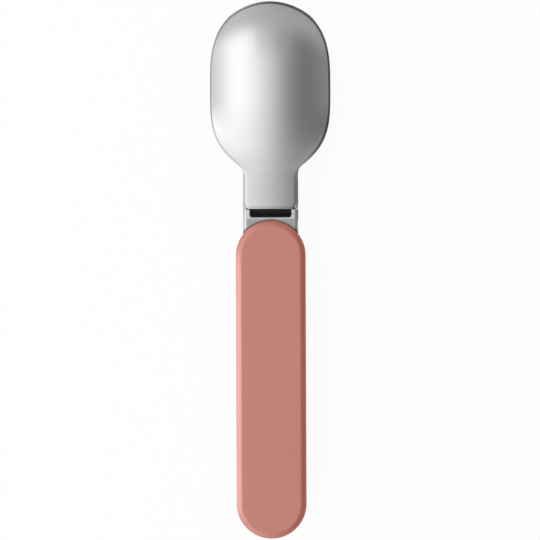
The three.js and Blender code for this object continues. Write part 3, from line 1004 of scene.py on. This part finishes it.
    def _turn_edge(self, sheet: Body) -> None:
        """Turns the neck's edge down round a bend.

        Args:
            sheet: the right half of the pressed sheet.
        """
        faded = self.neck_front + self.bend_start + self.bend_fade
        end = min(y for y in self.places() if y >= faded) + NEAR
        last = sheet.where(lambda place: place.y < end and place.x > self.inset_at(place.y) - NEAR)
        for step in range(1, self.bend_steps + 1):
            sheet.pick(last)
            sheet.extrude_edges((0, 0, 0))
            last = sheet.picked()
            for index in last:
                sheet.put(index, self.bend_point(sheet.points[index].co.y, step / self.bend_steps))

    def _draw_heel(self, flange: Body) -> None:
        """Draws the arm's round heel out behind the flange's rear edge.

        Args:
            flange: the right flange, as a flat sheet.
        """
        half_height = self.heel_radius - self.heel_flat
        ends = [self.pivot.z - half_height, self.pivot.z + half_height]
        rear = self.neck_rear
        last = flange.where(
            lambda place: abs(place.y - rear) < NEAR and min(abs(place.z - end) for end in ends) < NEAR)
        for turn in self.heel_turns:
            angle = math.radians(turn)
            next_rear = self.pivot.y - self.heel_radius * math.cos(angle)
            next_height = self.heel_radius * math.sin(angle)
            flange.pick(last)
            flange.extrude_edges((0, next_rear - rear, 0))
            bpy.ops.transform.resize(
                value=(1, 1, next_height / half_height), center_override=(0, 0, self.pivot.z))
            last = flange.picked()
            rear = next_rear
            half_height = next_height

    def _flanges(self) -> Body:
        """Draws the two flanges under the neck, which run back as arms on the pivot pin.

        Returns:
            Both flanges as one body.
        """
        flange = Body.grid("flanges", 2, self.flange_rows)
        length = self.flange_front - self.neck_rear
        for level, (_, column) in enumerate(flange.lines(0)):
            for index in column:
                y = self.neck_rear + length * (flange.points[index].co.y + 1) / 2
                flange.put(index, Vector((self.flange_half_at(y), y, self.flange_levels(y)[level])))
        self._draw_heel(flange)
        flange.pick_all()
        bpy.ops.mesh.remove_doubles(threshold=MERGE)
        flange.extrude_faces((-self.sheet, 0, 0))
        flange.tidy()
        reach = Vector((self.bowl_half, 0, 0))
        flange.combine(
            Body.bar(self.pin_hole, self.pivot - reach, self.pivot + reach, Along.ACROSS), Tool.CUT)
        flange.modify("MIRROR", use_axis=(True, False, False))
        flange.soften(self.arm_round, self.arm_round_steps)
        return flange

    def build(self) -> Body:
        """Models the head.

        Returns:
            The finished piece.
        """
        head = self._half_sheet()
        self._turn_edge(head)
        head.tidy()
        head.modify(
            "MIRROR", use_axis=(True, False, False), use_mirror_merge=True, merge_threshold=MERGE)
        head.tidy()
        head.thicken(self.sheet)
        head.modify("SUBSURF", levels=self.refining, render_levels=self.refining)
        head.weld(self._flanges())
        head.smooth()
        return head

    def place(self, finishes: Finishes) -> None:
        """Builds the head, dresses it and seats it on its body."""
        seat(self.build(), "spoon", "spoon_head", finishes.head_steel)


@dataclass
class HingeBracket:
    """The bent steel bracket that holds the pivot pin inside the handle's end."""

    pivot: Vector
    half: float
    rear: float
    front: float
    floor_top: float
    rivets: list[Vector]
    screws: list[Vector]
    sheet: float = 0.8 * MM
    corner_radius: float = 1.2 * MM
    corner_steps: int = 6
    channel_length: float = 14.4 * MM
    wall_low: float = 3.2 * MM
    slot_length: float = 2.4 * MM
    slot_half: float = 6.35 * MM
    slot_round: float = 1.0 * MM
    slot_steps: int = 8
    tongue_half: float = 5.5 * MM
    tongue_drop: float = 2.7 * MM
    joggle: float = 4.0 * MM
    ear_ground_gap: float = 0.05 * MM
    pin_hole: float = 1.8 * MM
    rivet_hole: float = 1.1 * MM
    screw_hole: float = 1.3 * MM
    edge_round: float = 0.15 * MM
    edge_steps: int = 2
    edge_angle: float = 35.0

    def _channel(self) -> Body:
        """Bends the channel: a floor with a wall down each side.

        Returns:
            The channel.
        """
        rear = self.front - self.channel_length
        high = self.floor_top - NEAR
        channel = Body.plate("bent_bracket", (-self.half, rear), (self.half, self.front, self.floor_top))
        for side in (-1, 1):
            channel.pick(channel.where(lambda place: place.x * side > 0 and place.z > high))
            channel.extrude_edges((0, 0, self.wall_low - self.floor_top))
        channel.pick_edges(lambda a, b: min(a.z, b.z) > high and a.x * b.x > 0)
        bpy.ops.mesh.bevel(offset=self.corner_radius, segments=self.corner_steps, affect="EDGES")
        channel.tidy()
        channel.thicken(self.sheet)
        return channel

    def _tongue(self) -> Body:
        """Draws the stepped tongue that the screws clamp.

        Returns:
            The tongue.
        """
        front = self.front - self.channel_length
        step = front - self.joggle
        tongue = Body.plate(
            "tongue", (-self.tongue_half, front), (self.tongue_half, front + self.sheet, self.floor_top))
        tongue.pick(tongue.where(lambda place: place.y < front + NEAR))
        tongue.extrude_edges((0, step - front, -self.tongue_drop))
        tongue.extrude_edges((0, self.rear - step, 0))
        tongue.tidy()
        tongue.thicken(self.sheet)
        return tongue

    def _slot(self) -> Body:
        """Models the body of the slot behind the neck's edge, with round rear corners.

        Returns:
            The body to cut away.
        """
        rear = self.front - self.slot_length
        over = 2 * self.sheet
        slot = Body.block(
            (-self.slot_half, rear, self.floor_top - over),
            (self.slot_half, self.front + over, self.floor_top + over))
        slot.pick_edges(lambda a, b: max(a.y, b.y) < rear + NEAR and abs(a.z - b.z) > over)
        bpy.ops.mesh.bevel(offset=self.slot_round, segments=self.slot_steps, affect="EDGES")
        slot.tidy()
        return slot

    def build(self) -> Body:
        """Models the bracket.

        Returns:
            The finished piece.
        """
        bracket = self._channel()
        bracket.combine(self._slot(), Tool.CUT)
        ear_radius = self.pivot.z - self.ear_ground_gap
        for side in (-1, 1):
            inner = Vector((side * (self.half - self.sheet), self.pivot.y, self.pivot.z))
            outer = Vector((side * self.half, self.pivot.y, self.pivot.z))
            bracket.combine(Body.bar(ear_radius, inner, outer, Along.ACROSS), Tool.JOIN)
        bracket.combine(self._tongue(), Tool.JOIN)
        reach = Vector((2 * self.half, 0, 0))
        rise = Vector((0, 0, self.floor_top))
        holes = [(self.pin_hole, self.pivot, reach, Along.ACROSS)]
        holes += [(self.rivet_hole, rivet, rise, Along.UPRIGHT) for rivet in self.rivets]
        holes += [(self.screw_hole, screw, rise, Along.UPRIGHT) for screw in self.screws]
        for radius, centre, way, along in holes:
            bracket.combine(Body.bar(radius, centre - way, centre + way, along), Tool.CUT)
        bracket.soften(self.edge_round, self.edge_steps, self.edge_angle)
        return bracket

    def place(self, finishes: Finishes) -> None:
        """Builds the bracket, dresses it and seats it on its body."""
        seat(self.build(), "handle", "hinge_bracket", finishes.bracket_steel)


@dataclass
class Handle:
    """The moulded handle: a hollow shell behind and a flat cover in front."""

    low: Vector
    high: Vector
    cover_front: float
    bracket_half: float
    screws: list[Vector]
    cover_top: float = 2.0 * MM
    chamfer_width: float = 1.5 * MM
    chamfer_depth: float = 1.0 * MM
    cap: float = 1.6 * MM
    side_gap: float = 0.2 * MM
    wall_tip: float = 0.6 * MM
    parting: float = 0.15 * MM
    pocket_rear: float = -26.5 * MM
    rail_width: float = 1.1 * MM
    rail_height: float = 1.2 * MM
    rail_gap: float = 0.25 * MM
    rib: float = 2.0 * MM
    cells: int = 3
    cell_roof: float = 2.4 * MM
    boss_radius: float = 2.6 * MM
    boss_low: float = 4.4 * MM
    pilot_radius: float = 1.3 * MM
    pilot_roof: float = 1.0 * MM
    face_round: float = 0.35 * MM
    face_steps: int = 4
    face_angle: float = 20.0
    edge_round: float = 0.12 * MM
    edge_steps: int = 3
    over: float = 2.0 * MM
    arc_points: int = 160

    def _blank(self, name: str) -> Body:
        """Draws the handle in one block, with full round ends and a chamfer round each face.

        Args:
            name: the block's name.

        Returns:
            The block.
        """
        radius = self.high.x
        front_arc = self.high.y - radius
        levels = (self.low.z + self.chamfer_depth, self.high.z - self.chamfer_depth)
        blank = Body(
            name, bpy.ops.mesh.primitive_circle_add, vertices=self.arc_points, radius=radius,
            fill_type="NGON", location=(0, front_arc, levels[0]),
            rotation=(0, 0, math.pi / self.arc_points))
        blank.pick(blank.where(lambda place: place.y < front_arc))
        bpy.ops.transform.translate(value=(0, 2 * radius - self.high.y + self.low.y, 0))
        blank.pick_all()
        blank.extrude_faces((0, 0, levels[1] - levels[0]))
        blank.tidy()
        for level in levels:
            Body.clear()
            blank.pick(blank.where(lambda place: abs(place.z - level) < NEAR))
            bpy.ops.mesh.select_mode(type="FACE")
            bpy.ops.mesh.inset(thickness=self.chamfer_width, depth=self.chamfer_depth)
        bpy.ops.object.mode_set(mode="OBJECT")
        blank.modify(
            "BEVEL", width=self.face_round, segments=self.face_steps, limit_method="ANGLE",
            angle_limit=math.radians(self.face_angle))
        return blank

    def build_shell(self) -> Body:
        """Models the shell, with its bracket pocket, cells and screw bosses.

        Returns:
            The finished piece.
        """
        half = self.bracket_half + self.side_gap
        radius = self.high.x
        wide = 2 * radius
        ceiling = self.high.z - self.cap
        front = self.high.y + self.over
        wall_front = self.high.y - radius + math.sqrt(radius ** 2 - (half + self.wall_tip) ** 2)
        seam = (wide, self.cover_front + self.parting, self.cover_top + self.parting)
        cuts = [
            ((-wide, self.low.y - self.over, -self.over), seam),
            ((-half, self.pocket_rear, -self.over), (half, front, ceiling)),
            ((-wide, wall_front, -self.over), (wide, front, ceiling))]
        cells_rear = self.low.y + radius
        pitch = (self.pocket_rear - cells_rear) / self.cells
        for i in range(self.cells):
            rear = cells_rear + i * pitch
            cuts.append(((-half, rear, 0), (half, rear + pitch - self.rib, self.high.z - self.cell_roof)))
        shell = self._blank("moulded_shell")
        for low, high in cuts:
            shell.combine(Body.block(low, high), Tool.CUT)
        posts = (
            (self.boss_radius, self.boss_low, ceiling + self.cap / 4, Tool.JOIN),
            (self.pilot_radius, 0, self.high.z - self.pilot_roof, Tool.CUT))
        for screw in self.screws:
            for post_radius, foot, top, tool in posts:
                ends = [Vector((screw.x, screw.y, level)) for level in (foot, top)]
                shell.combine(Body.bar(post_radius, *ends, Along.UPRIGHT), tool)
        shell.soften(self.edge_round, self.edge_steps)
        return shell

    def build_cover(self) -> Body:
        """Models the front cover, with its two locating rails.

        Returns:
            The finished piece.
        """
        wide = 2 * self.high.x
        cover = self._blank("front_cover")
        keep = Body.block(
            (-wide, self.low.y - self.over, -self.over), (wide, self.cover_front, self.cover_top))
        cover.combine(keep, Tool.TRIM)
        outer = self.bracket_half + self.side_gap - self.rail_gap
        for side in (-1, 1):
            left, right = sorted((side * (outer - self.rail_width), side * outer))
            rail = Body.block(
                (left, self.pocket_rear + self.rail_gap, self.cover_top / 2),
                (right, self.cover_front - self.rail_gap, self.cover_top + self.rail_height))
            cover.combine(rail, Tool.JOIN)
        cover.soften(self.edge_round, self.edge_steps)
        return cover

    def place(self, finishes: Finishes) -> None:
        """Builds the shell and the cover, dresses them and seats them on their body."""
        seat(self.build_shell(), "handle", "handle_shell", finishes.rose_plastic)
        seat(self.build_cover(), "handle", "handle_cover", finishes.rose_plastic)


@dataclass
class PivotSet:
    """The pin that the head turns on and the black sleeve between its arms."""

    pivot: Vector
    pin_half: float
    pin_radius: float
    sleeve_half: float
    sleeve_radius: float
    bore_gap: float = 0.3 * MM
    pin_round: float = 0.25 * MM
    pin_steps: int = 3
    sleeve_round: float = 0.15 * MM
    sleeve_steps: int = 2

    def _bar(self, radius: float, half: float, name: str) -> Body:
        """A round bar on the pivot's axis."""
        reach = Vector((half, 0, 0))
        return Body.bar(radius, self.pivot - reach, self.pivot + reach, Along.ACROSS, name)

    def build_pin(self) -> Body:
        """Models the pin, with rounded ends flush with the ears.

        Returns:
            The finished piece.
        """
        pin = self._bar(self.pin_radius, self.pin_half, "turned_pin")
        pin.soften(self.pin_round, self.pin_steps)
        return pin

    def build_sleeve(self) -> Body:
        """Models the sleeve as a tube on the pin.

        Returns:
            The finished piece.
        """
        sleeve = self._bar(self.sleeve_radius, self.sleeve_half, "nylon_sleeve")
        sleeve.combine(self._bar(self.pin_radius + self.bore_gap, 2 * self.sleeve_half, "bore"), Tool.CUT)
        sleeve.soften(self.sleeve_round, self.sleeve_steps)
        return sleeve

    def place(self, finishes: Finishes) -> None:
        """Builds the pin and the sleeve, dresses them and seats them on their body."""
        seat(self.build_pin(), "handle", "pivot_pin", finishes.pin_steel)
        seat(self.build_sleeve(), "handle", "spacer_sleeve", finishes.black_nylon)


def stage(body: Body, *unseen: str) -> None:
    """Makes a body part of the studio and hides it from some kinds of rays.

    Args:
        body: the floor, a card, a panel or the dome.
        unseen: the kinds of rays.
    """
    for rays in unseen:
        setattr(body.piece, f"visible_{rays}", False)


@dataclass(frozen=True)
class Panel:
    """A curved panel that hangs round the spoon and shows only in its reflections.

    Its tones are pairs of an angle in degrees from straight up and the glow there. It fades in
    over its first degrees, which are given as soft, up to the share that it covers.
    """

    name: str
    heading: float
    radius: float
    half_width: float
    tones: tuple[tuple[float, float], ...]
    soft: float
    cover: float = 1.0
    centre_y: float = 0.05
    brightest: float = 2.0
    steps: int = 32

    def build(self) -> None:
        """Models the panel as an arc over the spoon and hangs it up."""
        start = math.radians(self.tones[0][0])
        sweep = math.radians(self.tones[-1][0]) - start
        panel = Body(self.name, bpy.ops.mesh.primitive_plane_add, size=2 * self.half_width)
        panel.pick(panel.where(lambda place: place.x > 0))
        bpy.ops.mesh.delete(type="VERT")
        panel.pick_all()
        bpy.ops.transform.translate(value=(self.half_width, 0, self.radius))
        bpy.ops.mesh.spin(steps=self.steps, angle=-sweep, center=(0, 0, 0), axis=(0, 1, 0))
        bpy.ops.object.mode_set(mode="OBJECT")
        panel.piece.rotation_euler = (0, start, math.radians(self.heading))
        panel.piece.location = (0, self.centre_y, 0)
        nodes = NodeBench(bpy.data.materials.new(self.name))
        span = math.sin(sweep)
        stops = [
            (math.sin(math.radians(angle) - start) / span, tone / self.brightest)
            for angle, tone in self.tones]
        along = nodes.axis("X") * (1 / (span * self.radius))
        shade = nodes.eased(along, 0.0, math.sin(math.radians(self.soft)) / span) * self.cover
        clear = nodes.add("ShaderNodeBsdfTransparent").outputs[0]
        glow = nodes.glow(nodes.ramp(stops, along), self.brightest)
        dress(panel.piece, nodes.end(nodes.mixed(shade, clear, glow)))
        stage(panel, "camera", "shadow", "diffuse")


@dataclass(frozen=True)
class Dome:
    """A glowing dome over the spoon, bright on the left and dark on the right.

    Its tones are pairs of an angle in degrees, from straight up to the right, and the glow there.
    Each tone runs along the lines that steel of one sideways lean mirrors.
    """

    radius: float
    tones: tuple[tuple[float, float], ...]
    centre_y: float = 0.05
    brightest: float = 2.0
    segments: int = 96

    def build(self) -> None:
        """Models the dome as the upper half of a ball and hangs it up."""
        dome = Body(
            "dome", bpy.ops.mesh.primitive_uv_sphere_add, segments=self.segments,
            ring_count=self.segments // 2, radius=self.radius)
        dome.pick(dome.where(lambda place: place.z < -self.radius / self.segments))
        bpy.ops.mesh.delete(type="VERT")
        bpy.ops.object.mode_set(mode="OBJECT")
        dome.piece.location = (0, self.centre_y, 0)
        nodes = NodeBench(bpy.data.materials.new("dome"))
        widest = math.tan(math.radians(self.tones[-1][0]) / 2)
        stops = [
            ((math.tan(math.radians(angle) / 2) / widest + 1) / 2, tone / self.brightest)
            for angle, tone in self.tones]
        lean = nodes.axis("X") / (nodes.axis("Z") + self.radius)
        ramp = nodes.ramp(stops, lean * (0.5 / widest) + 0.5)
        dress(dome.piece, nodes.end(nodes.glow(ramp, self.brightest)))
        stage(dome, "camera")


@dataclass
class Studio:
    """A white floor, a dome that is bright on the left, panels round the spoon and a camera above."""

    pixel: float = 0.2975 * MM
    frame_pixels: int = 540
    view_centre: tuple[float, float] = (-0.24 * MM, -0.09 * MM)
    view_level: float = 7.3 * MM
    view_roll: float = -0.21
    lens: float = 180.0
    sensor: float = 36.0
    floor_size: float = 6.0
    floor_level: float = -9.8 * MM
    floor_glow: float = 0.94
    floor_colour: tuple[float, float, float, float] = (0.95, 0.95, 0.95, 1.0)
    ambient: float = 0.9
    dome: Dome = Dome(1.2, (
        (-86, 0.82), (-76, 0.98), (-68, 1.26), (-60, 1.57), (-48, 1.63), (-36, 1.49), (-24, 1.3),
        (-12, 1.12), (0, 0.92), (12, 0.69), (24, 0.47), (36, 0.33), (48, 0.24), (60, 0.23), (72, 0.31),
        (86, 0.4)))
    panels: tuple[Panel, ...] = (
        Panel("tip_panel", 87.0, 0.45, 1.2, ((42, 0.62), (60, 0.6), (86, 0.54)), 22.0, 0.85),
        Panel("tip_shade", 90.0, 0.46, 0.17, ((12, 0.2), (86, 0.2)), 30.0, 0.3),
        Panel("neck_panel", 270.0, 0.45, 1.2, ((4, 0.25), (86, 0.25)), 80.0, 0.12),
        Panel(
            "handle_panel", 180.0, 0.035, 0.044, ((44, 2.5), (88, 2.5)), 16.0, centre_y=-0.038,
            brightest=3.0))
    card_level: float = 0.3 * MM
    card_tone: float = 0.15
    # The right card reaches in under the neck and the bowl, where it is a painted shadow of the floor
    # that only reflections show.
    right_card: tuple[float, float] = (-7.0 * MM, 15.0 * MM)
    tip_card: tuple[float, float] = (-9.0 * MM, 80.5 * MM)

    def _seen(self, nodes: NodeBench) -> Value:
        """One for rays from the camera, a glossy surface or a clear one, and zero for the rest.

        Args:
            nodes: the tree that asks.

        Returns:
            The share as a number.
        """
        path = nodes.add("ShaderNodeLightPath")
        camera = nodes.value(path, "Is Camera Ray")
        glossy = nodes.value(path, "Is Glossy Ray")
        return camera.larger(glossy).larger(nodes.value(path, "Is Transmission Ray"))

    def build_world(self) -> None:
        """Makes the world white to the eye and a plain grey light on the object."""
        nodes = NodeBench(bpy.data.worlds.new("white_room"))
        strength = self._seen(nodes) * (1 - self.ambient) + self.ambient
        light = nodes.add("ShaderNodeBackground", None, {"Color": WHITE, "Strength": strength})
        bpy.context.scene.world = nodes.end(light.outputs["Background"], "ShaderNodeOutputWorld")

    def build_floor(self) -> None:
        """Lays the white floor, which keeps a faint shadow, below the place of the folded head."""
        half = self.floor_size / 2
        floor = Body.plate("floor", (-half, -half), (half, half, self.floor_level))
        nodes = NodeBench(bpy.data.materials.new("white_floor"))
        matte = nodes.add("ShaderNodeBsdfDiffuse", None, {"Color": self.floor_colour}).outputs[0]
        shader = nodes.mixed(self._seen(nodes) * self.floor_glow, matte, nodes.glow(WHITE, 1.0))
        dress(floor.piece, nodes.end(shader))
        stage(floor)

    def build_card(self, name: str, corner: tuple[float, float]) -> None:
        """Lays a dark card beside the spoon, which only its reflections show; where it reaches under the
        spoon it is a painted floor shadow.

        Args:
            name: the card's name.
            corner: the near corner, from which the card reaches to the right and ahead.
        """
        half = self.floor_size / 2
        card = Body.plate(name, corner, (half, half, self.card_level))
        nodes = NodeBench(bpy.data.materials.new(name))
        dress(card.piece, nodes.end(nodes.glow(WHITE, self.card_tone)))
        stage(card, "camera", "shadow", "diffuse")

    def build_camera(self) -> None:
        """Sets the camera straight above the spoon, with the bowl's tip at the top of the picture."""
        data = bpy.data.cameras.new("camera")
        data.lens = self.lens
        data.sensor_width = self.sensor
        camera = bpy.data.objects.new("camera", data)
        bpy.context.scene.collection.objects.link(camera)
        distance = self.lens / self.sensor * self.pixel * self.frame_pixels
        camera.location = (*self.view_centre, self.view_level + distance)
        camera.rotation_euler = (0, 0, math.radians(self.view_roll))
        bpy.context.scene.camera = camera

    def build(self) -> None:
        """Sets up the whole studio."""
        self.build_camera()
        self.build_world()
        self.build_floor()
        # The right card doubles as a painted floor shadow under the spoon.
        self.build_card("right_card", self.right_card)
        self.build_card("tip_card", self.tip_card)
        self.dome.build()
        for panel in self.panels:
            panel.build()
        bpy.context.scene.view_settings.view_transform = "Standard"


def middle(node: str) -> Vector:
    """The middle of a node of the frame."""
    low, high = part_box(node)
    return (low + high) / 2


def main() -> None:
    """Builds the studio and every piece of the spoon, and puts each on its body."""
    logging.basicConfig(level=logging.INFO, format="%(name)s: %(message)s")
    Studio().build()
    finishes = Finishes.mixed()
    pivot = Vector(frame["joints"][0]["pos_m"])
    head_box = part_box("spoon_head")
    bracket_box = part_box("hinge_bracket")
    shell_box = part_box("handle_shell")
    cover_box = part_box("handle_cover")
    pin_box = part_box("pivot_pin")
    sleeve_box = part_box("spacer_sleeve")
    ear_half = bracket_box[1].x
    rivets = ["spring_rivet_left", "spring_rivet_right"]
    screws = ["bracket_screw_upper", "bracket_screw_lower"]
    screw_places = [middle(node) for node in screws]

    head = SpoonHead(pivot, ear_half, head_box[1].x, head_box[1].y)
    bracket = HingeBracket(
        pivot, ear_half, bracket_box[0].y, head.neck_rear, bracket_box[1].z,
        [middle(node) for node in rivets], screw_places)
    low = Vector((shell_box[0].x, shell_box[0].y, cover_box[0].z))
    handle = Handle(low, shell_box[1], cover_box[1].y, ear_half, screw_places)
    pair = PivotSet(
        pivot, pin_box[1].x, pin_box[1].z - pivot.z, sleeve_box[1].x, sleeve_box[1].z - pivot.z)
    for group in (head, bracket, handle, pair):
        group.place(finishes)

    kept = {node: finishes.pin_steel for node in rivets + screws}
    kept["detent_spring"] = finishes.spring_steel
    for node, finish in kept.items():
        dress(frame["nodes"][node], finish)
        LOG.info("%s keeps its solid, with %s", node, finish.name)


if __name__ == "__main__":
    main()
